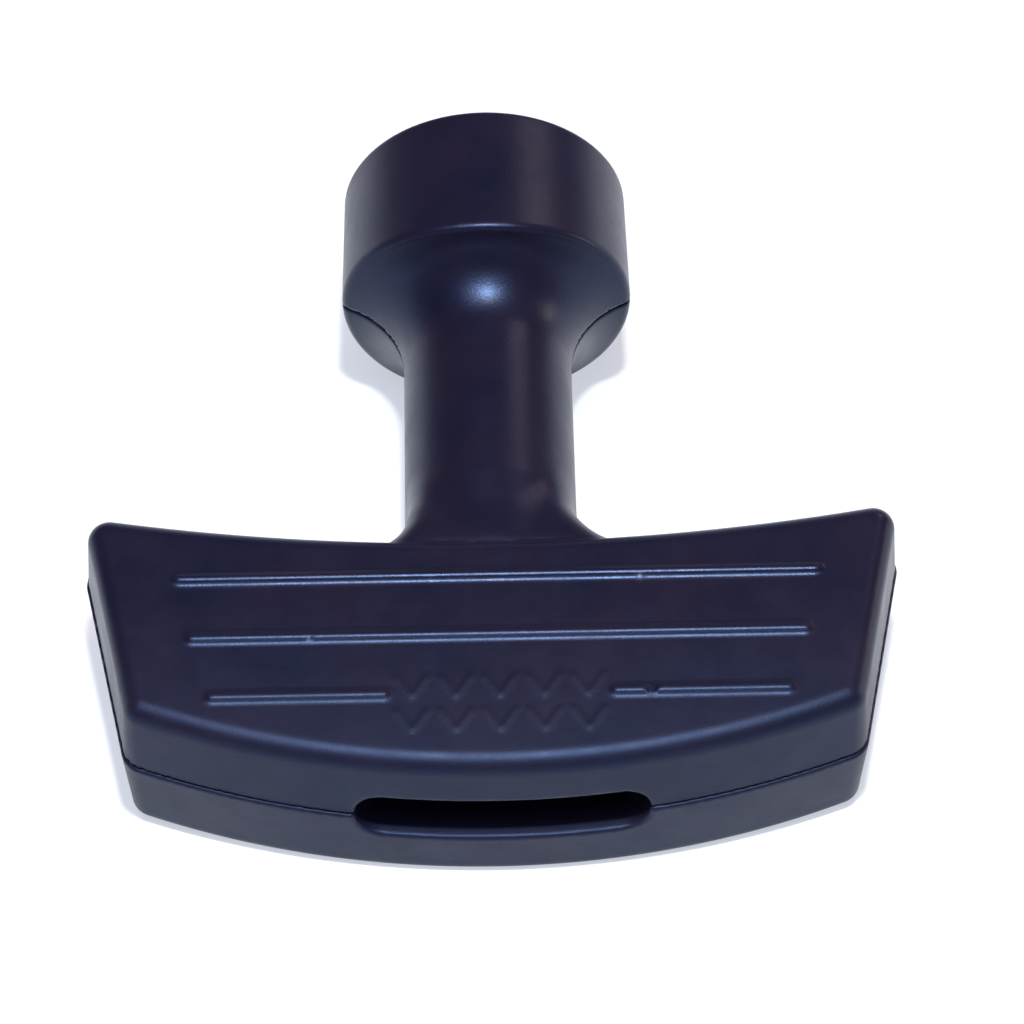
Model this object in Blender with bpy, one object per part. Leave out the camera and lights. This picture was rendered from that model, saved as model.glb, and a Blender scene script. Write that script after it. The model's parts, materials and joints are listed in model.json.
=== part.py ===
"""Pull handle of a small engine's recoil starter: a T-shaped grip in two moulded shells that meet
at a seam, and the cross rod inside it that the starter rope is tied to.

The handle is drawn in its own axes: X across the grip, +Y along the rope from the palm to the
head, +Z out of the front face, with y = 0 where the rope axis leaves the palm face and z = 0 at
the seam. An empty then lays it on its back, as it rests on a table: its head is thicker than its
grip, so the rope axis climbs a few degrees. The origin is under the middle of the whole part.
"""

import math

import bmesh
import bpy
from mathutils import Vector

MM = 0.001
GAP = 0.3 * MM  # left between pieces that touch

# Grip outline at the seam
FINGER_WIDTH = 108.5 * MM  # across the sharp corners on the finger side
PALM_WIDTH = 94.9 * MM
FINGER_MID_Y = 37.5 * MM  # finger edge on the rope axis
FINGER_ARC_R = 273 * MM  # hollow, for the fingers
PALM_ARC_R = 121 * MM  # crowned, for the palm
FINGER_CORNER_R = 3.4 * MM
PALM_CORNER_R = 3.6 * MM

# Grip section
FRONT_DEPTH = 11.5 * MM  # seam to front face
REAR_DEPTH = 12.7 * MM
REAR_PROUD = 0.3 * MM  # the rear half's outline stands this far outside the front half's
DRAFT = 0.07  # side slope of each half, away from the seam
FRONT_EDGE_R = 2.4 * MM
REAR_EDGE_R = 1.8 * MM

# Neck and head, turned about the rope axis
NECK_R = 11.45 * MM
FLARE_START_Y = 73.0 * MM
FLARE_R = 13.0 * MM
FLARE_DROP = 2.8 * MM  # the flare is this much shorter on the front line, and the head longer
HEAD_BASE_R = 19.95 * MM
HEAD_RIM_R = 19.65 * MM
HEAD_EDGE_R = 0.8 * MM
RIM_Y = 103.7 * MM
RIM_EDGE_R = 0.7 * MM
TURN_STEPS = 48

# Foot of the neck: a web as wide as the neck, filleted into the grip, that ramps down to the neck
FOOT_LEFT_R = 3.6 * MM
FOOT_RIGHT_R = 5.4 * MM
FOOT_START_Y = 33.0 * MM
FOOT_BASE_Y = 37.8 * MM
FOOT_RAMP_Y = 43.4 * MM
FOOT_SLOPE = 0.42
FOOT_DEPTH = 11.3 * MM
FOOT_HALF_WIDTH = 11.3 * MM

# Hollows
CUP_R = 16.2 * MM
CUP_DEPTH = 15.5 * MM
CUP_CORNER_R = 2.0 * MM
NECK_BORE_R = 6.2 * MM
FUNNEL_R = 7.2 * MM
SEAT_HOLE_R = 3.3 * MM
SEAT_WEB = 5.0 * MM  # between the rod pocket and the neck bore
OFF_CENTRE_X = 0.7 * MM  # the slot, its pocket and the marks sit this far right of the rope axis
SLOT_LENGTH = 37.7 * MM
SLOT_HEIGHT = 7.8 * MM
POCKET_DEPTH = 20.0 * MM
CORE_WALL = 2.8 * MM
CORE_START_X = 27.5 * MM
CORE_WIDTH = 5.0 * MM
CORE_PITCH = 6.8 * MM
CORE_COUNT = 3
CORE_END_R = 1.2 * MM

# Locating pegs on the front shell, sockets in the rear shell
PEG_R = 1.5 * MM
PEG_LENGTH = 4.0 * MM
PEG_PLACES = [(24.0 * MM, 9.0 * MM), (48.6 * MM, 35.0 * MM)]

# Raised marks on the front face
RIDGE_R = 0.8 * MM
RIDGE_RISE = 0.6 * MM
RIDGES = [(30.5 * MM, 0.0, 42.0 * MM), (21.1 * MM, 0.0, 40.1 * MM), (11.9 * MM, 13.9 * MM, 37.4 * MM)]
CHEVRON_COUNT = 5
CHEVRON_PITCH = 5.6 * MM
CHEVRON_HALF_WIDTH = 2.0 * MM
CHEVRON_DROP = 3.2 * MM
CHEVRON_LINE = 0.8 * MM
CHEVRON_RISE = 0.2 * MM
CHEVRON_ROWS_Y = [14.6 * MM, 9.4 * MM]

# Rope rod
ROD_LENGTH = 33.0 * MM
ROD_R = 3.35 * MM
ROD_WAIST_R = 2.2 * MM
ROD_WAIST_LENGTH = 11.0 * MM
ROD_TAPER = 1.6 * MM
ROD_EDGE = 0.6 * MM

BLACK_MOULDING = ((0.020, 0.019, 0.034), 0.42, 0.0)
ZINC_STEEL = ((0.55, 0.55, 0.53), 0.35, 1.0)


def clear_scene():
    for obj in list(bpy.data.objects):
        bpy.data.objects.remove(obj, do_unlink=True)


def new_material(name, finish):
    colour, roughness, metallic = finish
    material = bpy.data.materials.new(name)
    material.use_nodes = True
    shader = material.node_tree.nodes["Principled BSDF"]
    shader.inputs["Base Color"].default_value = (*colour, 1.0)
    shader.inputs["Roughness"].default_value = roughness
    shader.inputs["Metallic"].default_value = metallic
    return material


def new_object(name, bm, parent):
    """An object made from bm, with its normals out, under parent."""
    bmesh.ops.remove_doubles(bm, verts=bm.verts, dist=1e-7)
    bmesh.ops.recalc_face_normals(bm, faces=bm.faces)
    mesh = bpy.data.meshes.new(name)
    bm.to_mesh(mesh)
    bm.free()
    mesh.shade_smooth()
    mesh.set_sharp_from_angle(angle=math.radians(30))
    obj = bpy.data.objects.new(name, mesh)
    bpy.context.scene.collection.objects.link(obj)
    obj.parent = parent
    return obj


def as_guide(obj):
    obj.hide_render = True
    obj.display_type = "WIRE"
    return obj


def boolean(obj, operation, other):
    modifier = obj.modifiers.new(other.name, "BOOLEAN")
    modifier.operation = operation
    modifier.solver = "EXACT"
    modifier.object = other


def arc(centre, radius, start, end, steps):
    """Points on a circle, from one angle to another, both ends included."""
    return [
        Vector((centre[0] + radius * math.cos(a), centre[1] + radius * math.sin(a)))
        for a in (start + (end - start) * i / steps for i in range(steps + 1))
    ]


def angle_of(vector):
    return math.atan2(vector[1], vector[0])


def line_meets_circle(point, direction, centre, radius):
    """Where a line crosses a circle, at the crossing nearest to point."""
    offset = point - centre
    along = offset.dot(direction)
    root = math.sqrt(along**2 - offset.length_squared + radius**2)
    return point + direction * min(-along - root, -along + root, key=abs)


def grip_corners():
    """Centres of the right-hand corner roundings, the arc centres and the side's outward normal."""
    palm_centre = Vector((0, PALM_ARC_R))
    finger_centre = Vector((0, FINGER_MID_Y + FINGER_ARC_R))
    half = PALM_WIDTH / 2
    palm_corner = Vector((half, PALM_ARC_R - math.sqrt(PALM_ARC_R**2 - half**2)))
    half = FINGER_WIDTH / 2
    finger_corner = Vector((half, finger_centre.y - math.sqrt(FINGER_ARC_R**2 - half**2)))
    side = (finger_corner - palm_corner).normalized()
    outward = Vector((side.y, -side.x))
    palm_round = line_meets_circle(
        palm_corner - outward * PALM_CORNER_R, side, palm_centre, PALM_ARC_R - PALM_CORNER_R
    )
    finger_round = line_meets_circle(
        finger_corner - outward * FINGER_CORNER_R, side, finger_centre, FINGER_ARC_R + FINGER_CORNER_R
    )
    return palm_centre, palm_round, finger_centre, finger_round, outward


def grip_outline(inset):
    """The grip's outline, that far inside its outline at the seam."""
    palm_centre, palm_round, finger_centre, finger_round, outward = grip_corners()
    side_angle = angle_of(outward)
    palm_turn = angle_of(palm_round - palm_centre)
    finger_turn = angle_of(finger_round - finger_centre)
    right = arc(palm_centre, PALM_ARC_R - inset, math.radians(-90), palm_turn, 10)
    right += arc(palm_round, PALM_CORNER_R - inset, palm_turn, side_angle, 4)[1:]
    right += arc(finger_round, FINGER_CORNER_R - inset, side_angle, finger_turn + math.pi, 6)
    right += arc(finger_centre, FINGER_ARC_R + inset, finger_turn, math.radians(-90), 9)[1:]
    left = [Vector((-p.x, p.y)) for p in reversed(right[1:-1])]
    return right + left


def half_levels(depth, edge_r, sign):
    """Height and inset of each outline of one half, from just off the seam to its face."""
    levels = [(sign * (depth - edge_r), DRAFT * (depth - edge_r))]
    for step in range(1, 5):
        turn = math.radians(90) * step / 4
        height = depth - edge_r + edge_r * math.sin(turn)
        levels.append((sign * height, levels[0][1] + edge_r * (1 - math.cos(turn))))
    return levels


def loft(rings):
    """A closed body through rings of equally many points."""
    bm = bmesh.new()
    layers = [[bm.verts.new(point) for point in ring] for ring in rings]
    count = len(layers[0])
    for lower, upper in zip(layers, layers[1:]):
        for i in range(count):
            j = (i + 1) % count
            bm.faces.new((lower[i], lower[j], upper[j], upper[i]))
    bm.faces.new(list(reversed(layers[0])))
    bm.faces.new(layers[-1])
    return bm


def grip_blank(parent):
    levels = [(z, inset - REAR_PROUD) for z, inset in reversed(half_levels(REAR_DEPTH, REAR_EDGE_R, -1))]
    levels += [(0.0, -REAR_PROUD), (0.0, 0.0)]
    levels += half_levels(FRONT_DEPTH, FRONT_EDGE_R, 1)
    rings = [[(p.x, p.y, z) for p in grip_outline(inset)] for z, inset in levels]
    return as_guide(new_object("grip_blank", loft(rings), parent))


def turned(name, profile, parent):
    """A body turned about the rope axis from (radius, y) points that start and end on it."""
    bm = bmesh.new()
    verts = [bm.verts.new((radius, y, 0)) for radius, y in profile]
    edges = [bm.edges.new(pair) for pair in zip(verts, verts[1:])]
    bmesh.ops.spin(
        bm,
        geom=verts + edges,
        cent=(0, 0, 0),
        axis=(0, 1, 0),
        angle=math.tau,
        steps=TURN_STEPS,
        use_merge=True,
    )
    return as_guide(new_object(name, bm, parent))


def flare_end_y():
    """Where the flare's curve reaches the head's full radius."""
    return FLARE_START_Y + math.sqrt(FLARE_R**2 - (FLARE_R - HEAD_BASE_R + NECK_R) ** 2)


def neck_profile():
    """Radius and y of the neck and head, from inside the grip to the rim."""
    flare_centre = (NECK_R + FLARE_R, FLARE_START_Y)
    flare_end_r = HEAD_BASE_R - 0.4 * HEAD_EDGE_R
    flare_turn = math.acos(1 - (flare_end_r - NECK_R) / FLARE_R)
    flare = arc(flare_centre, FLARE_R, math.pi, math.pi - flare_turn, 8)
    rim_centre = (HEAD_RIM_R - RIM_EDGE_R, RIM_Y - RIM_EDGE_R)
    rim = arc(rim_centre, RIM_EDGE_R, 0, math.radians(90), 3)
    start = (NECK_R, 14 * MM)
    return [
        (0, start[1]),
        start,
        *flare,
        (HEAD_BASE_R, flare[-1].y + HEAD_EDGE_R),
        *rim,
        (0, RIM_Y),
    ]


def foot_outline(height, inset):
    """The foot's outline at a height above or below the seam."""
    ramp_y = FOOT_RAMP_Y + (FOOT_DEPTH - height) / FOOT_SLOPE
    half = FOOT_HALF_WIDTH
    right = [Vector((half + FOOT_RIGHT_R, FOOT_START_Y))]
    centre = (half + FOOT_RIGHT_R, FOOT_BASE_Y + FOOT_RIGHT_R)
    right += arc(centre, FOOT_RIGHT_R + inset, math.radians(270), math.radians(180), 6)
    centre = (-half - FOOT_LEFT_R, FOOT_BASE_Y + FOOT_LEFT_R)
    left = arc(centre, FOOT_LEFT_R + inset, 0, math.radians(-90), 6)
    left += [Vector((-half - FOOT_LEFT_R, FOOT_START_Y))]
    top = [Vector((half - inset, ramp_y)), Vector((inset - half, ramp_y))]
    return right + top + left


def foot_blank(parent):
    levels = list(reversed(half_levels(FOOT_DEPTH, FRONT_EDGE_R, -1)))
    levels += [(0.0, 0.0)]
    levels += half_levels(FOOT_DEPTH, FRONT_EDGE_R, 1)
    rings = [[(p.x, p.y, z) for p in foot_outline(abs(z), inset)] for z, inset in levels]
    return as_guide(new_object("foot_blank", loft(rings), parent))


def box(name, low, high, parent):
    bm = bmesh.new()
    bmesh.ops.create_cube(bm, size=1)
    for vert in bm.verts:
        for axis in range(3):
            vert.co[axis] = high[axis] if vert.co[axis] > 0 else low[axis]
    return as_guide(new_object(name, bm, parent))


def handle_blank(parent):
    """The handle's outer shape, whole, with its flare drawn down at the front."""
    blank = turned("handle_blank", neck_profile(), parent)
    for vert in blank.data.vertices:
        place = vert.co
        if FLARE_START_Y < place.y < RIM_Y - RIM_EDGE_R and place.z > 0:
            share = min(1, (place.y - FLARE_START_Y) / (flare_end_y() - FLARE_START_Y))
            place.y -= FLARE_DROP * share * (place.z / math.hypot(place.x, place.z)) ** 2
    boolean(blank, "UNION", foot_blank(parent))
    boolean(blank, "UNION", grip_blank(parent))
    return blank


def rope_way(parent):
    """Cup, neck bore and the small hole at the rod's seat, as one turned cutter."""
    cup_y = RIM_Y - CUP_DEPTH
    corner = arc((CUP_R - CUP_CORNER_R, cup_y + CUP_CORNER_R), CUP_CORNER_R, math.radians(-90), 0, 3)
    seat_y = POCKET_DEPTH + SEAT_WEB
    profile = [
        (0, POCKET_DEPTH - 2 * MM),
        (SEAT_HOLE_R, POCKET_DEPTH - 2 * MM),
        (SEAT_HOLE_R, seat_y),
        (NECK_BORE_R, seat_y),
        (NECK_BORE_R, cup_y - (FUNNEL_R - NECK_BORE_R)),
        (FUNNEL_R, cup_y),
        *corner,
        (CUP_R, RIM_Y + 5 * MM),
        (0, RIM_Y + 5 * MM),
    ]
    return turned("rope_way", profile, parent)


def prism(bm, outline, low, high):
    """Adds a straight body with that outline, from one z to another."""
    base = [bm.verts.new((x, y, low)) for x, y in outline]
    face = bm.faces.new(base)
    top = bmesh.ops.extrude_face_region(bm, geom=[face])["geom"]
    bmesh.ops.translate(
        bm, verts=[v for v in top if isinstance(v, bmesh.types.BMVert)], vec=(0, 0, high - low)
    )


def stadium_cutter(parent):
    """The slot in the palm face and the rod pocket behind it."""
    end_r = SLOT_HEIGHT / 2
    centre_x = SLOT_LENGTH / 2 - end_r
    ring = arc((OFF_CENTRE_X + centre_x, 0), end_r, math.radians(-90), math.radians(90), 8)
    ring += arc((OFF_CENTRE_X - centre_x, 0), end_r, math.radians(90), math.radians(270), 8)
    rings = [[(p.x, y, p.y) for p in ring] for y in (-5 * MM, POCKET_DEPTH)]
    return as_guide(new_object("rod_pocket", loft(rings), parent))


def core_cutter(name, depth, sign, parent):
    """The cored pockets in both wings of one shell, with ribs left between them."""
    bm = bmesh.new()
    floor = sign * (depth - CORE_WALL)
    for number in range(CORE_COUNT):
        for side in (-1, 1):
            middle = CORE_START_X + CORE_WIDTH / 2 + number * CORE_PITCH
            palm_y = PALM_ARC_R - math.sqrt(PALM_ARC_R**2 - middle**2) + CORE_WALL + 1.6 * MM
            finger_y = FINGER_MID_Y + middle**2 / (2 * FINGER_ARC_R) - CORE_WALL - 0.8 * MM
            half = CORE_WIDTH / 2 - CORE_END_R
            lean = side * 0.22 * (finger_y - palm_y) * number / CORE_COUNT
            places = [
                (side * middle - half - lean / 2, palm_y + CORE_END_R, 180, 270),
                (side * middle + half - lean / 2, palm_y + CORE_END_R, 270, 360),
                (side * middle + half + lean / 2, finger_y - CORE_END_R, 0, 90),
                (side * middle - half + lean / 2, finger_y - CORE_END_R, 90, 180),
            ]
            outline = []
            for x, y, start, end in places:
                outline += arc((x, y), CORE_END_R, math.radians(start), math.radians(end), 2)
            prism(bm, outline, min(-sign * GAP, floor), max(-sign * GAP, floor))
    return as_guide(new_object(name, bm, parent))


def pegs(name, radius, low, high, parent):
    bm = bmesh.new()
    for x, y in PEG_PLACES:
        for side in (-1, 1):
            prism(bm, arc((side * x, y), radius, 0, math.tau, 16)[:-1], low, high)
    return as_guide(new_object(name, bm, parent))


def ridge_rings(y, start, end):
    """Sections of a bead with round ends, lying along X at the front face."""
    rings = []
    for step in range(-6, 7):
        turn = math.radians(84) * step / 6
        radius = RIDGE_R * math.cos(turn)
        centre = start + RIDGE_R if step <= 0 else end - RIDGE_R
        x = OFF_CENTRE_X + centre + RIDGE_R * math.sin(turn)
        z = FRONT_DEPTH + RIDGE_RISE - RIDGE_R
        rings.append(
            [(x, y + p.x, z + p.y) for p in arc((0, 0), radius, 0, math.tau, 12)[:-1]]
        )
        if step == 0:
            x = OFF_CENTRE_X + end - RIDGE_R
            rings.append([(x, b, c) for _, b, c in rings[-1]])
    return rings


def front_marks(parent):
    """Ridges and a band of chevrons that point the way the handle is pulled."""
    bm = bmesh.new()
    for y, start, end in RIDGES:
        spans = [(-end, end)] if start == 0 else [(-end, -start), (start, end)]
        for low, high in spans:
            part = loft(ridge_rings(y, low, high))
            mesh = bpy.data.meshes.new("bead")
            part.to_mesh(mesh)
            part.free()
            bm.from_mesh(mesh)
            bpy.data.meshes.remove(mesh)
    for row_y in CHEVRON_ROWS_Y:
        for number in range(CHEVRON_COUNT):
            x = OFF_CENTRE_X + (number - (CHEVRON_COUNT - 1) / 2) * CHEVRON_PITCH
            outline = [
                (x - CHEVRON_HALF_WIDTH, row_y),
                (x, row_y - CHEVRON_DROP),
                (x + CHEVRON_HALF_WIDTH, row_y),
                (x + CHEVRON_HALF_WIDTH, row_y + CHEVRON_LINE),
                (x, row_y - CHEVRON_DROP + CHEVRON_LINE),
                (x - CHEVRON_HALF_WIDTH, row_y + CHEVRON_LINE),
            ]
            prism(bm, outline, FRONT_DEPTH - 0.5 * MM, FRONT_DEPTH + CHEVRON_RISE)
    return as_guide(new_object("front_marks", bm, parent))


def shell(name, sign, depth, blank, cutters, parent):
    """One moulded half: the whole handle's shape on one side of the seam, cut hollow."""
    reach = 30 * MM
    low, high = sorted((sign * GAP / 2, sign * reach))
    half = box(name, (-80 * MM, -20 * MM, low), (80 * MM, 130 * MM, high), parent)
    half.hide_render = False
    half.display_type = "TEXTURED"
    boolean(half, "INTERSECT", blank)
    for cutter in cutters:
        boolean(half, "DIFFERENCE", cutter)
    boolean(half, "DIFFERENCE", core_cutter(name + "_cores", depth, sign, parent))
    half.data.materials.append(new_material(name + "_moulding", BLACK_MOULDING))
    return half


def rope_rod(parent):
    """The cross rod, turned about its own length, with a waist that the rope is tied round."""
    end = ROD_LENGTH / 2
    waist = ROD_WAIST_LENGTH / 2
    half = [
        (end, 0),
        (end, ROD_R - ROD_EDGE),
        (end - ROD_EDGE, ROD_R),
        (waist + ROD_TAPER, ROD_R),
        (waist, ROD_WAIST_R),
    ]
    profile = half + [(-x, radius) for x, radius in reversed(half)]
    bm = bmesh.new()
    verts = [bm.verts.new((x, 0, radius)) for x, radius in profile]
    edges = [bm.edges.new(pair) for pair in zip(verts, verts[1:])]
    bmesh.ops.spin(
        bm, geom=verts + edges, cent=(0, 0, 0), axis=(1, 0, 0), angle=math.tau, steps=24, use_merge=True
    )
    rod = new_object("rope_rod", bm, parent)
    rod.location = (OFF_CENTRE_X, POCKET_DEPTH - GAP - ROD_R, 0)
    rod.data.materials.append(new_material("rope_rod_steel", ZINC_STEEL))
    return rod


def rest_tilt():
    """How far the rope axis climbs when the head's edge and the grip's rear edge touch a table."""
    rise = HEAD_BASE_R - REAR_DEPTH
    run = flare_end_y() + HEAD_EDGE_R - REAR_EDGE_R - DRAFT * REAR_DEPTH + REAR_PROUD
    return math.atan2(rise, run)


def set_on_table(base, pieces):
    """Tilts the whole handle to its rest, then puts the origin under the middle of its box."""
    base.rotation_euler = (rest_tilt(), 0, 0)
    graph = bpy.context.evaluated_depsgraph_get()
    corners = []
    for piece in pieces:
        found = piece.evaluated_get(graph)
        corners += [found.matrix_world @ vert.co for vert in found.to_mesh().vertices]
    lows = [min(c[axis] for c in corners) for axis in range(3)]
    highs = [max(c[axis] for c in corners) for axis in range(3)]
    base.location = (-(lows[0] + highs[0]) / 2, -(lows[1] + highs[1]) / 2, -lows[2])


def main():
    clear_scene()
    base = bpy.data.objects.new("handle_axes", None)
    bpy.context.scene.collection.objects.link(base)
    blank = handle_blank(base)
    cutters = [rope_way(base), stadium_cutter(base)]
    front = shell("front_shell", 1, FRONT_DEPTH, blank, cutters, base)
    rear = shell("rear_shell", -1, REAR_DEPTH, blank, cutters, base)
    boolean(front, "UNION", front_marks(base))
    boolean(front, "UNION", pegs("pegs", PEG_R, -PEG_LENGTH, 2 * MM, base))
    boolean(rear, "DIFFERENCE", pegs("sockets", PEG_R + GAP, -PEG_LENGTH - GAP, 2 * MM, base))
    rod = rope_rod(base)
    set_on_table(base, [front, rear, rod])


main()
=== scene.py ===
"""Looks of the recoil starter's pull handle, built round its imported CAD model.

Each moulded shell is meshed from a distance function in the handle's own axes, in millimetres:
X across the grip, +Y along the rope from the palm to the head, +Z out of the front face, with
y = 0 at the palm face and z = 0 at the seam. The mesh is then laid where the CAD model lies.
"""

import json
import math

import bpy
import numpy as np
from mathutils import Matrix, Vector

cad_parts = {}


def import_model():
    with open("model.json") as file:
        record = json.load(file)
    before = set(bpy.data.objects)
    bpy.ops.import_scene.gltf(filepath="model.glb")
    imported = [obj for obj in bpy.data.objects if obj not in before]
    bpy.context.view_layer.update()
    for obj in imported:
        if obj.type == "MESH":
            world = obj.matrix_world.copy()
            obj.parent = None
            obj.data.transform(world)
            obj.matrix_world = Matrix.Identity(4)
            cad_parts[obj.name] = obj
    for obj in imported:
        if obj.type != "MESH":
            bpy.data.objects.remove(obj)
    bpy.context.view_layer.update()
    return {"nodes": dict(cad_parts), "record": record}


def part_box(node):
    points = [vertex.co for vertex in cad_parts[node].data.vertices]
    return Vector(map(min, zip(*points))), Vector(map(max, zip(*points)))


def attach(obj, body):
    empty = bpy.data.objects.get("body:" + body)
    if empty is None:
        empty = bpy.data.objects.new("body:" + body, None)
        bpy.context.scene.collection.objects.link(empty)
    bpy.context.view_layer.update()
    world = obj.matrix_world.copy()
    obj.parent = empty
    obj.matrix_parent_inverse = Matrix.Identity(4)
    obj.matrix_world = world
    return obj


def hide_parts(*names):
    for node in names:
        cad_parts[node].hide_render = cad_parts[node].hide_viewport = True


MM = 0.001

# Grip outline and section, as in the CAD model
FINGER_WIDTH, PALM_WIDTH = 108.5, 94.9
FINGER_MID_Y, FINGER_ARC_R, PALM_ARC_R = 37.5, 273.0, 121.0
FINGER_CORNER_R, PALM_CORNER_R = 3.4, 3.6
FRONT_DEPTH, REAR_DEPTH, DRAFT = 11.5, 12.7, 0.07
FRONT_EDGE_R, REAR_EDGE_R = 2.4, 1.8
REAR_PROUD = 0.3  # the rear half's outline stands this far outside the front half's

# Neck, flare and head
NECK_R, NECK_START_Y = 11.45, 33.0
FLARE_START_Y, FLARE_R = 73.0, 13.0
FLARE_TIGHTER = 3.6  # the flare's radius is this much smaller on the front line
HEAD_BASE_Y, HEAD_BASE_R, HEAD_RIM_R, HEAD_EDGE_R = 85.0, 19.95, 19.65, 0.8
RIM_Y, RIM_EDGE_R = 103.7, 0.7

# Foot of the neck: a web about as wide as the neck, filleted into the grip, that ramps down to it
FOOT_LEFT_R, FOOT_RIGHT_R, FOOT_START_Y, FOOT_RAMP_Y = 4.4, 6.8, 33.0, 40.0
FOOT_HALF_WIDTH, FOOT_TAPER, FOOT_SLOPE, FOOT_DEPTH = 11.9, 0.2, 0.36, 11.0
FOOT_EDGE_R, FOOT_BLEND_R = 3.6, 1.5
FOOT_RAMP_SOFTNESS = 3.0  # how gently the ramp and the taper set in
NECK_WAIST_Y, NECK_WAIST_TAPER = 48.0, 0.06  # the neck thins a little from here down

# Hollows
CUP_R, CUP_DEPTH, CUP_CORNER_R, FUNNEL_BLEND_R = 16.2, 15.5, 2.0, 1.6
NECK_BORE_R, SEAT_HOLE_R, SEAT_WEB = 6.2, 3.3, 5.0
SLOT_LENGTH, SLOT_HEIGHT, POCKET_DEPTH, SLOT_LIP_R = 37.7, 7.8, 20.0, 0.45
OFF_CENTRE_X = 0.7  # the slot, its pocket and the marks sit this far right of the rope axis
SEAM_HALF_GAP, SEAM_EDGE_R = 0.06, 0.2
OVERLAP = 2.0  # how far one hollow reaches into the next, so that they join

# Raised marks on the front face
RIDGE_R, RIDGE_RISE, RIDGE_FOOT_R = 0.8, 0.6, 0.06
RIDGES = [(30.5, 0.0, 42.0), (21.1, 0.0, 40.1), (11.9, 13.9, 37.4)]
CHEVRON_COUNT, CHEVRON_PITCH, CHEVRON_HALF_WIDTH, CHEVRON_DROP = 5, 5.6, 2.0, 3.2
CHEVRON_LINE, CHEVRON_RISE, CHEVRON_ROWS_Y = 0.5, 0.2, (14.6, 9.4)
CHEVRON_EDGE_R, CHEVRON_FOOT_R, CHEVRON_ROOT = 0.25, 0.2, 1.0  # the root is sunk in the face

# Small moulding faults on the front face: x, y, how far over the face the middle is, and radius
DENTS = [(19.9, 12.0, 0.9, 0.85), (15.9, 31.4, 0.6, 0.5), (-23.5, 20.6, 0.7, 0.4)]
CRUMBS = [(19.0, 29.6, 0.0, 0.35), (-8.0, 29.9, 0.0, 0.3)]
FAULT_EDGE_R = 0.1

# Rod, and where its middle lies on the rope axis
ROD_CENTRE_Y = 16.35

# Mesh grid: its step, how far it reaches past the shape, and its reach from the seam
CELL = 0.44
MESH_MARGIN = 1.3
BOX_DEPTH = 20.0

# Camera, in the handle's own axes: degrees, and millimetres from the point it looks at
CAMERA_AIM = (2.84, 49.22, 0.0)
CAMERA_AZIMUTH, CAMERA_ELEVATION, CAMERA_ROLL = -0.77, 52.84, -0.45
CAMERA_DISTANCE, CAMERA_LENS = 600.1, 157.9


def handle_axes(frame):
    """The matrix from the handle's own millimetres to the row frame's metres."""
    slide = frame["record"]["behaviour"]["joints"][0]
    along = -Vector(slide["axis"]).normalized()
    low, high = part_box("rope_rod")
    across = Vector((1, 0, 0))
    turn = Matrix((across, along, across.cross(along))).transposed()
    origin = (low + high) / 2 - along * ROD_CENTRE_Y * MM - across * OFF_CENTRE_X * MM
    return Matrix.Translation(origin) @ turn.to_4x4() @ Matrix.Scale(MM, 4)


# Distances, in millimetres: negative inside


def round_both(a, b, radius):
    """Where both bodies are, with a rounded edge."""
    return np.minimum(-radius, np.maximum(a, b)) + np.hypot(
        np.maximum(radius + a, 0), np.maximum(radius + b, 0)
    )


def round_either(a, b, radius):
    """Where either body is, with a fillet between them."""
    return np.maximum(radius, np.minimum(a, b)) - np.hypot(
        np.maximum(radius - a, 0), np.maximum(radius - b, 0)
    )


def round_corner(a, b, radius, cosine):
    """Where both bodies are, with a circular corner; cosine is of the angle between normals."""
    p, q = a + radius, b + radius
    reach = np.sqrt(np.maximum(p * p + q * q - 2 * p * q * cosine, 0) / (1 - cosine**2))
    within = (p > q * cosine) & (q > p * cosine)
    return np.where(within, reach - radius, np.maximum(a, b))


def circle_y(radius, x):
    """How far a circle through the origin has climbed at x."""
    return radius - math.sqrt(radius**2 - x**2)


def grip_outline(x, y):
    palm = np.hypot(x, y - PALM_ARC_R) - PALM_ARC_R
    finger = FINGER_ARC_R - np.hypot(x, y - FINGER_MID_Y - FINGER_ARC_R)
    low = Vector((PALM_WIDTH / 2, circle_y(PALM_ARC_R, PALM_WIDTH / 2)))
    high = Vector((FINGER_WIDTH / 2, FINGER_MID_Y + circle_y(FINGER_ARC_R, FINGER_WIDTH / 2)))
    run = (high - low).normalized()
    outward = Vector((run.y, -run.x))
    side = (np.abs(x) - low.x) * outward.x + (y - low.y) * outward.y
    palm_normal = (low - Vector((0, PALM_ARC_R))) / PALM_ARC_R
    finger_normal = (Vector((0, FINGER_MID_Y + FINGER_ARC_R)) - high) / FINGER_ARC_R
    outline = round_corner(palm, side, PALM_CORNER_R, palm_normal.dot(outward))
    return round_corner(outline, finger, FINGER_CORNER_R, finger_normal.dot(outward))


def grip(x, y, z):
    sides = (grip_outline(x, y) + DRAFT * np.abs(z)) / math.hypot(1, DRAFT)
    front = round_both(sides, z - FRONT_DEPTH, FRONT_EDGE_R)
    rear = round_both(sides - REAR_PROUD, -z - REAR_DEPTH, REAR_EDGE_R)
    return np.where(z > 0, front, rear)


def foot(x, y, z):
    fillet_r = np.where(x > 0, FOOT_RIGHT_R, FOOT_LEFT_R)
    past = y - FOOT_RAMP_Y
    past = (past + np.hypot(past, FOOT_RAMP_SOFTNESS)) / 2
    web = np.abs(x) - FOOT_HALF_WIDTH - DRAFT * np.abs(z) + FOOT_TAPER * past
    plan = np.maximum(round_either(web, grip_outline(x, y), fillet_r), FOOT_START_Y - y)
    sides = (plan + DRAFT * np.abs(z)) / math.hypot(1, DRAFT)
    faces = (np.abs(z) - FOOT_DEPTH + FOOT_SLOPE * past) / math.hypot(1, FOOT_SLOPE)
    return round_both(sides, faces, FOOT_EDGE_R)


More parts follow.
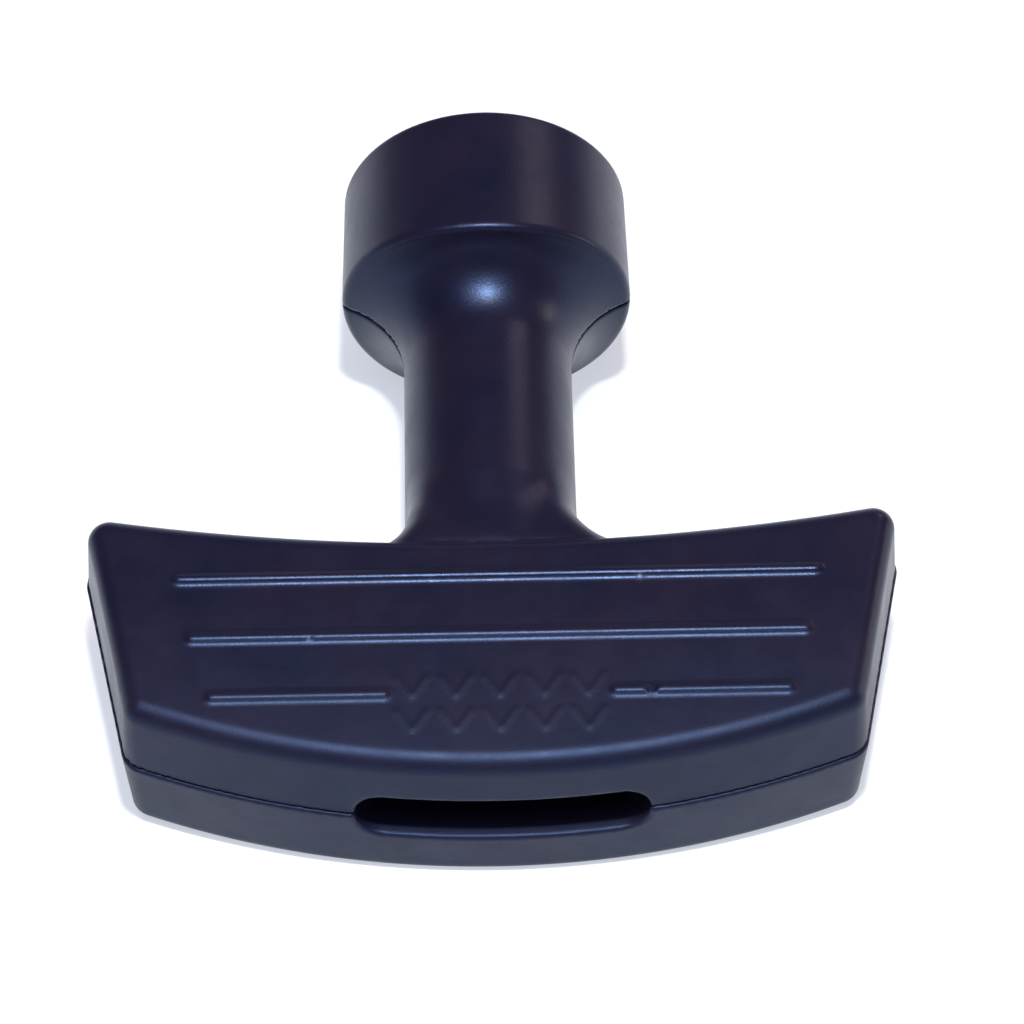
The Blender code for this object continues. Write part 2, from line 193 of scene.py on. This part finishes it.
def neck_and_head(radius, y, z):
    waist = NECK_WAIST_TAPER * np.maximum(NECK_WAIST_Y - y, 0)
    neck = np.maximum(radius - NECK_R + waist, NECK_START_Y - y)
    flare_r = FLARE_R - FLARE_TIGHTER * (np.maximum(z, 0) / np.maximum(radius, 1.0)) ** 2
    flared = round_either(neck, FLARE_START_Y + flare_r - y, flare_r)
    draft = (HEAD_RIM_R - HEAD_BASE_R) / (RIM_Y - HEAD_BASE_Y)
    wall = radius - HEAD_BASE_R - draft * (y - HEAD_BASE_Y)
    return round_both(round_both(flared, wall, HEAD_EDGE_R), y - RIM_Y, RIM_EDGE_R)


def rope_way(radius, y):
    cup_y = RIM_Y - CUP_DEPTH
    cup = round_both(radius - CUP_R, cup_y - y, CUP_CORNER_R)
    bore = np.maximum(radius - NECK_BORE_R, POCKET_DEPTH + SEAT_WEB - y)
    hole = np.maximum(radius - SEAT_HOLE_R, POCKET_DEPTH - OVERLAP - y)
    return np.minimum(round_either(cup, bore, FUNNEL_BLEND_R), hole)


def pocket(x, y, z):
    end_r = SLOT_HEIGHT / 2
    off = np.maximum(np.abs(x - OFF_CENTRE_X) - (SLOT_LENGTH / 2 - end_r), 0)
    ring = np.hypot(off, z) - end_r
    return np.maximum(ring, y - POCKET_DEPTH)


def stroke(x, y, start, end):
    """Distance in plan from a straight stroke."""
    run = (end[0] - start[0], end[1] - start[1])
    share = ((x - start[0]) * run[0] + (y - start[1]) * run[1]) / (run[0] ** 2 + run[1] ** 2)
    share = np.clip(share, 0, 1)
    return np.hypot(x - start[0] - share * run[0], y - start[1] - share * run[1])


def raised_marks(body, x, y, z):
    """The front face's body with its ridges and chevrons on it."""
    x = x - OFF_CENTRE_X
    for ridge_y, start, end in RIDGES:
        middle, half = (start + end) / 2, (end - start) / 2 - RIDGE_R
        off = np.abs(np.abs(x) - middle) - half if start else np.abs(x) - (end - RIDGE_R)
        height = z - (FRONT_DEPTH + RIDGE_RISE - RIDGE_R)
        bead = np.sqrt(np.maximum(off, 0) ** 2 + (y - ridge_y) ** 2 + height**2) - RIDGE_R
        body = round_either(body, bead, RIDGE_FOOT_R)
    plan = np.full(np.shape(x), np.inf)
    for row_y in CHEVRON_ROWS_Y:
        for number in range(CHEVRON_COUNT):
            middle = (number - (CHEVRON_COUNT - 1) / 2) * CHEVRON_PITCH
            tip = (middle, row_y - CHEVRON_DROP)
            for side in (-1, 1):
                end = (middle + side * CHEVRON_HALF_WIDTH, row_y)
                plan = np.minimum(plan, stroke(x, y, tip, end))
    line = round_both(plan - CHEVRON_LINE / 2, z - FRONT_DEPTH - CHEVRON_RISE, CHEVRON_EDGE_R)
    line = np.maximum(line, FRONT_DEPTH - CHEVRON_ROOT - z)
    return round_either(body, line, CHEVRON_FOOT_R)


def ball(x, y, z, place):
    """A ball near the front face, from its fault's x, y, height over the face and radius."""
    ball_x, ball_y, height, radius = place
    plan = (x - ball_x) ** 2 + (y - ball_y) ** 2
    return np.sqrt(plan + (z - FRONT_DEPTH - height) ** 2) - radius


def moulding_faults(body, x, y, z):
    for dent in DENTS:
        body = round_both(body, -ball(x, y, z, dent), FAULT_EDGE_R)
    for crumb in CRUMBS:
        body = round_either(body, ball(x, y, z, crumb), FAULT_EDGE_R)
    return body


def moulding(x, y, z):
    """The whole handle, before it is cut at the seam."""
    radius = np.hypot(x, z)
    stem = round_either(neck_and_head(radius, y, z), foot(x, y, z), FOOT_BLEND_R)
    body = np.maximum(np.minimum(grip(x, y, z), stem), -rope_way(radius, y))
    return round_both(body, -pocket(x, y, z), SLOT_LIP_R)


def front_half(points):
    x, y, z = points
    body = raised_marks(moulding(x, y, z), x, y, z)
    body = moulding_faults(body, x, y, z)
    return round_both(body, SEAM_HALF_GAP - z, SEAM_EDGE_R)


def rear_half(points):
    x, y, z = points
    return round_both(moulding(x, y, z), z + SEAM_HALF_GAP, SEAM_EDGE_R)


# Meshes from distances


def surface_net(field, low, step):
    """Points and quads where a grid of distances changes sign: one point for each crossed cell."""
    inside = field < 0
    cell_shape = tuple(n - 1 for n in field.shape)
    corners = [(i, j, k) for i in (0, 1) for j in (0, 1) for k in (0, 1)]
    filled = np.zeros(cell_shape, np.int8)
    for i, j, k in corners:
        filled += inside[i : i + cell_shape[0], j : j + cell_shape[1], k : k + cell_shape[2]]
    active = (filled > 0) & (filled < 8)
    cells = np.argwhere(active)
    number = np.full(cell_shape, -1, np.int64)
    number[active] = np.arange(len(cells))
    total, count = np.zeros((len(cells), 3)), np.zeros(len(cells))
    for axis in range(3):
        for corner in corners:
            if corner[axis]:
                continue
            start = cells + corner
            end = start.copy()
            end[:, axis] += 1
            a, b = field[tuple(start.T)], field[tuple(end.T)]
            crossed = (a < 0) != (b < 0)
            place = np.tile(np.array(corner, float), (len(cells), 1))
            place[:, axis] = a / np.where(crossed, a - b, 1)
            total[crossed] += place[crossed]
            count += crossed
    points = low + step * (cells + total / count[:, None])
    quads = []
    for axis in range(3):
        across = [np.eye(3, dtype=int)[(axis + turn) % 3] for turn in (1, 2)]
        size = field.shape[axis]
        leaving = inside.take(range(size - 1), axis) != inside.take(range(1, size), axis)
        edges = np.argwhere(leaving)
        shifts = (0 * across[0], across[0], across[0] + across[1], across[1])
        ring = np.stack([number[tuple((edges - shift).T)] for shift in shifts], 1)
        outward = inside[tuple(edges.T)]
        ring[~outward] = ring[~outward][:, ::-1]
        quads.append(ring)
    return points, np.concatenate(quads)


def gradient(distance, points, reach=0.02):
    slopes = []
    for axis in range(3):
        shift = np.zeros((3, 1))
        shift[axis] = reach
        slopes.append((distance(points.T + shift) - distance(points.T - shift)) / (2 * reach))
    return np.stack(slopes, 1)


def settle(points, distance, rounds):
    """Moves points onto the surface."""
    for _ in range(rounds):
        slope = gradient(distance, points)
        length = np.maximum((slope**2).sum(1), 0.1)
        move = slope * (distance(points.T) / length)[:, None]
        points = points - np.clip(move, -CELL / 2, CELL / 2)
    return points


def even_out(points, quads, share):
    """Moves each point part of the way to the middle of its neighbours."""
    total, count = np.zeros_like(points), np.zeros(len(points))
    for i in range(4):
        here, there = quads[:, i], quads[:, (i + 1) % 4]
        for a, b in ((here, there), (there, here)):
            count += np.bincount(a, minlength=len(points))
            for axis in range(3):
                total[:, axis] += np.bincount(a, weights=points[b, axis], minlength=len(points))
    return points + share * (total / count[:, None] - points)


def body_from(name, distance, low, high, to_row):
    """A smooth closed mesh of a distance function, laid in the row frame."""
    low = np.array(low, float) - MESH_MARGIN
    counts = np.ceil((np.array(high) + MESH_MARGIN - low) / CELL).astype(int) + 1
    axes = [low[i] + CELL * np.arange(counts[i]) for i in range(3)]
    field = distance(np.meshgrid(*axes, indexing="ij"))
    points, quads = surface_net(field, low, CELL)
    points = settle(points, distance, 2)
    for _ in range(2):
        points = settle(even_out(points, quads, 0.5), distance, 2)
    mesh = bpy.data.meshes.new(name)
    turn = np.array(to_row)
    places = points @ turn[:3, :3].T + turn[:3, 3]
    mesh.from_pydata(places.tolist(), [], quads.tolist())
    mesh.shade_smooth()
    obj = bpy.data.objects.new(name, mesh)
    bpy.context.scene.collection.objects.link(obj)
    return obj


# Materials


class Nodes:
    """A material's node tree, with short calls to add nodes and links."""

    def __init__(self, name):
        self.material = bpy.data.materials.new(name)
        self.material.use_nodes = True
        self.tree = self.material.node_tree
        self.shader = self.tree.nodes["Principled BSDF"]
        self.place = self.add("ShaderNodeTexCoord").outputs["Object"]

    def add(self, kind, **settings):
        node = self.tree.nodes.new(kind)
        for key, value in settings.items():
            setattr(node, key, value)
        return node

    def link(self, source, target):
        self.tree.links.new(source, target)

    def noise(self, size_mm, detail=3.0, roughness=0.5):
        """Noise whose features are about that many millimetres across."""
        node = self.add("ShaderNodeTexNoise")
        node.inputs["Scale"].default_value = 1 / (size_mm * MM)
        node.inputs["Detail"].default_value = detail
        node.inputs["Roughness"].default_value = roughness
        self.link(self.place, node.inputs["Vector"])
        return node.outputs["Fac"]

    def ramp(self, source, stops):
        node = self.add("ShaderNodeValToRGB")
        elements = node.color_ramp.elements
        while len(elements) < len(stops):
            elements.new(0.5)
        for element, (position, colour) in zip(elements, stops):
            element.position = position
            element.color = (*colour, 1) if len(colour) == 3 else colour
        self.link(source, node.inputs["Fac"])
        return node.outputs["Color"]

    def spread(self, source, low, high, to_low, to_high):
        node = self.add("ShaderNodeMapRange")
        limits = {"From Min": low, "From Max": high, "To Min": to_low, "To Max": to_high}
        for key, value in limits.items():
            node.inputs[key].default_value = value
        self.link(source, node.inputs["Value"])
        return node.outputs["Result"]

    def bump(self, height, distance_mm, strength, below=None):
        node = self.add("ShaderNodeBump")
        node.inputs["Distance"].default_value = distance_mm * MM
        node.inputs["Strength"].default_value = strength
        self.link(height, node.inputs["Height"])
        if below is not None:
            self.link(below, node.inputs["Normal"])
        return node.outputs["Normal"]


def moulding_material(name):
    """Black moulded plastic: faint flow clouds and fine grain, roughest near the palm face."""
    nodes = Nodes(name)
    shader = nodes.shader
    clouds = nodes.noise(14.0, 4.0, 0.55)
    colour = nodes.ramp(clouds, [(0.3, (0.0040, 0.0045, 0.0140)), (0.7, (0.0085, 0.0060, 0.0150))])
    nodes.link(colour, shader.inputs["Base Color"])
    split = nodes.add("ShaderNodeSeparateXYZ")
    nodes.link(nodes.place, split.inputs["Vector"])
    along = nodes.spread(split.outputs["Y"], -0.050, -0.026, 0.50, 0.34)
    patches = nodes.spread(nodes.noise(5.0, 5.0, 0.6), 0.3, 0.7, -0.04, 0.04)
    total = nodes.add("ShaderNodeMath", operation="ADD")
    nodes.link(along, total.inputs[0])
    nodes.link(patches, total.inputs[1])
    nodes.link(total.outputs["Value"], shader.inputs["Roughness"])
    grain = nodes.bump(nodes.noise(0.35, 2.0, 0.6), 0.04, 0.5)
    waves = nodes.bump(nodes.noise(3.5, 2.0, 0.5), 0.08, 0.35, grain)
    nodes.link(waves, shader.inputs["Normal"])
    shader.inputs["Specular Tint"].default_value = (0.30, 0.50, 1.0, 1)
    return nodes.material


def steel_material(name):
    nodes = Nodes(name)
    shader = nodes.shader
    clouds = nodes.noise(2.0, 4.0, 0.6)
    colour = nodes.ramp(clouds, [(0.3, (0.42, 0.43, 0.44)), (0.7, (0.62, 0.61, 0.57))])
    nodes.link(colour, shader.inputs["Base Color"])
    shader.inputs["Metallic"].default_value = 1.0
    nodes.link(nodes.spread(clouds, 0.3, 0.7, 0.28, 0.45), shader.inputs["Roughness"])
    nodes.link(nodes.bump(nodes.noise(0.3, 2.0), 0.02, 0.4), shader.inputs["Normal"])
    return nodes.material


def floor_material():
    """Pale sheet, lit softly from below so that shadows stay faint."""
    nodes = Nodes("floor_pale")
    shader = nodes.shader
    clouds = nodes.noise(300.0, 2.0)
    colour = nodes.ramp(clouds, [(0.3, (0.33, 0.37, 0.41)), (0.7, (0.35, 0.39, 0.43))])
    nodes.link(colour, shader.inputs["Base Color"])
    shader.inputs["Roughness"].default_value = 0.7
    shader.inputs["Emission Color"].default_value = (0.87, 0.92, 1.0, 1)
    shader.inputs["Emission Strength"].default_value = 0.6
    return nodes.material


# The stage


def make_floor():
    bpy.ops.mesh.primitive_plane_add(size=6)
    floor = bpy.context.object
    floor.name = "floor"
    floor.data.materials.append(floor_material())


def make_world():
    """Dim room: a grey glow along the horizon, dusky above."""
    world = bpy.data.worlds.new("studio")
    world.use_nodes = True
    tree = world.node_tree
    background = tree.nodes["Background"]
    place = tree.nodes.new("ShaderNodeTexCoord")
    split = tree.nodes.new("ShaderNodeSeparateXYZ")
    ramp = tree.nodes.new("ShaderNodeValToRGB")
    tree.links.new(place.outputs["Generated"], split.inputs["Vector"])
    tree.links.new(split.outputs["Z"], ramp.inputs["Fac"])
    tree.links.new(ramp.outputs["Color"], background.inputs["Color"])
    elements = ramp.color_ramp.elements
    elements[0].position, elements[0].color = 0.02, (0.30, 0.30, 0.36, 1)
    elements[1].position, elements[1].color = 0.35, (0.10, 0.09, 0.14, 1)
    background.inputs["Strength"].default_value = 1.0
    bpy.context.scene.world = world


def add_area(name, place, target, size, power, colour):
    light = bpy.data.lights.new(name, "AREA")
    light.shape = "DISK"
    light.size = size
    light.energy = power
    light.color = colour
    obj = bpy.data.objects.new(name, light)
    bpy.context.scene.collection.objects.link(obj)
    obj.location = place
    obj.rotation_euler = (Vector(target) - Vector(place)).to_track_quat("-Z", "Y").to_euler()


def make_lights():
    middle = (0, 0, 0.02)
    add_area("key", (0.02, -0.21, 0.71), middle, 0.05, 6.4, (0.95, 0.95, 0.88))
    add_area("softbox", (-0.1, -0.3, 1.0), middle, 0.7, 5.0, (1.0, 0.82, 1.0))
    add_area("lamp", (0.04, -0.10, 0.95), middle, 0.02, 1.8, (1.0, 0.42, 0.12))
    add_area("wall_glow", (0.48, 0.64, 0.60), middle, 0.34, 0.9, (1.0, 0.60, 0.48))
    add_area("side_glow", (0.6, 0.12, 0.14), middle, 0.2, 0.5, (1.0, 0.7, 0.45))
    add_area("back_panel", (0, 1.2, 0.2), middle, 0.8, 0.6, (0.6, 0.78, 1.0))


def make_camera(to_row):
    angles = (CAMERA_AZIMUTH, CAMERA_ELEVATION, CAMERA_ROLL)
    azimuth, elevation, roll = (math.radians(angle) for angle in angles)
    level = Vector((math.sin(azimuth), -math.cos(azimuth), 0))
    back = level * math.cos(elevation) + Vector((0, 0, math.sin(elevation)))
    right = Vector((0, 0, 1)).cross(back).normalized()
    up = back.cross(right)
    turned_right = math.cos(roll) * right + math.sin(roll) * up
    turned_up = math.cos(roll) * up - math.sin(roll) * right
    turn = Matrix((turned_right, turned_up, back)).transposed().to_4x4()
    place = Matrix.Translation(Vector(CAMERA_AIM) + back * CAMERA_DISTANCE)
    camera = bpy.data.objects.new("camera", bpy.data.cameras.new("camera"))
    bpy.context.scene.collection.objects.link(camera)
    camera.matrix_world = to_row @ place @ turn @ Matrix.Scale(1 / MM, 4)
    camera.data.lens = CAMERA_LENS
    camera.data.clip_start = 0.01
    bpy.context.scene.camera = camera


def main():
    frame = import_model()
    to_row = handle_axes(frame)
    make_camera(to_row)
    make_world()
    make_lights()
    make_floor()

    half_width = FINGER_WIDTH / 2
    low, high = (-half_width, 0, 0), (half_width, RIM_Y, BOX_DEPTH)
    front = body_from("front_shell_skin", front_half, low, high, to_row)
    low, high = (-half_width, 0, -BOX_DEPTH), (half_width, RIM_Y, 0)
    rear = body_from("rear_shell_skin", rear_half, low, high, to_row)
    for skin, node, slot in (
        (front, "front_shell", "front_moulding"),
        (rear, "rear_shell", "rear_moulding"),
    ):
        skin.data.materials.append(moulding_material(node + "_moulding"))
        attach(skin, "handle")
        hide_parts(node)
    rod = frame["nodes"]["rope_rod"]
    rod.data.materials.clear()
    rod.data.materials.append(steel_material("rod_steel"))

    scene = bpy.context.scene
    scene.view_settings.view_transform = "Standard"


main()
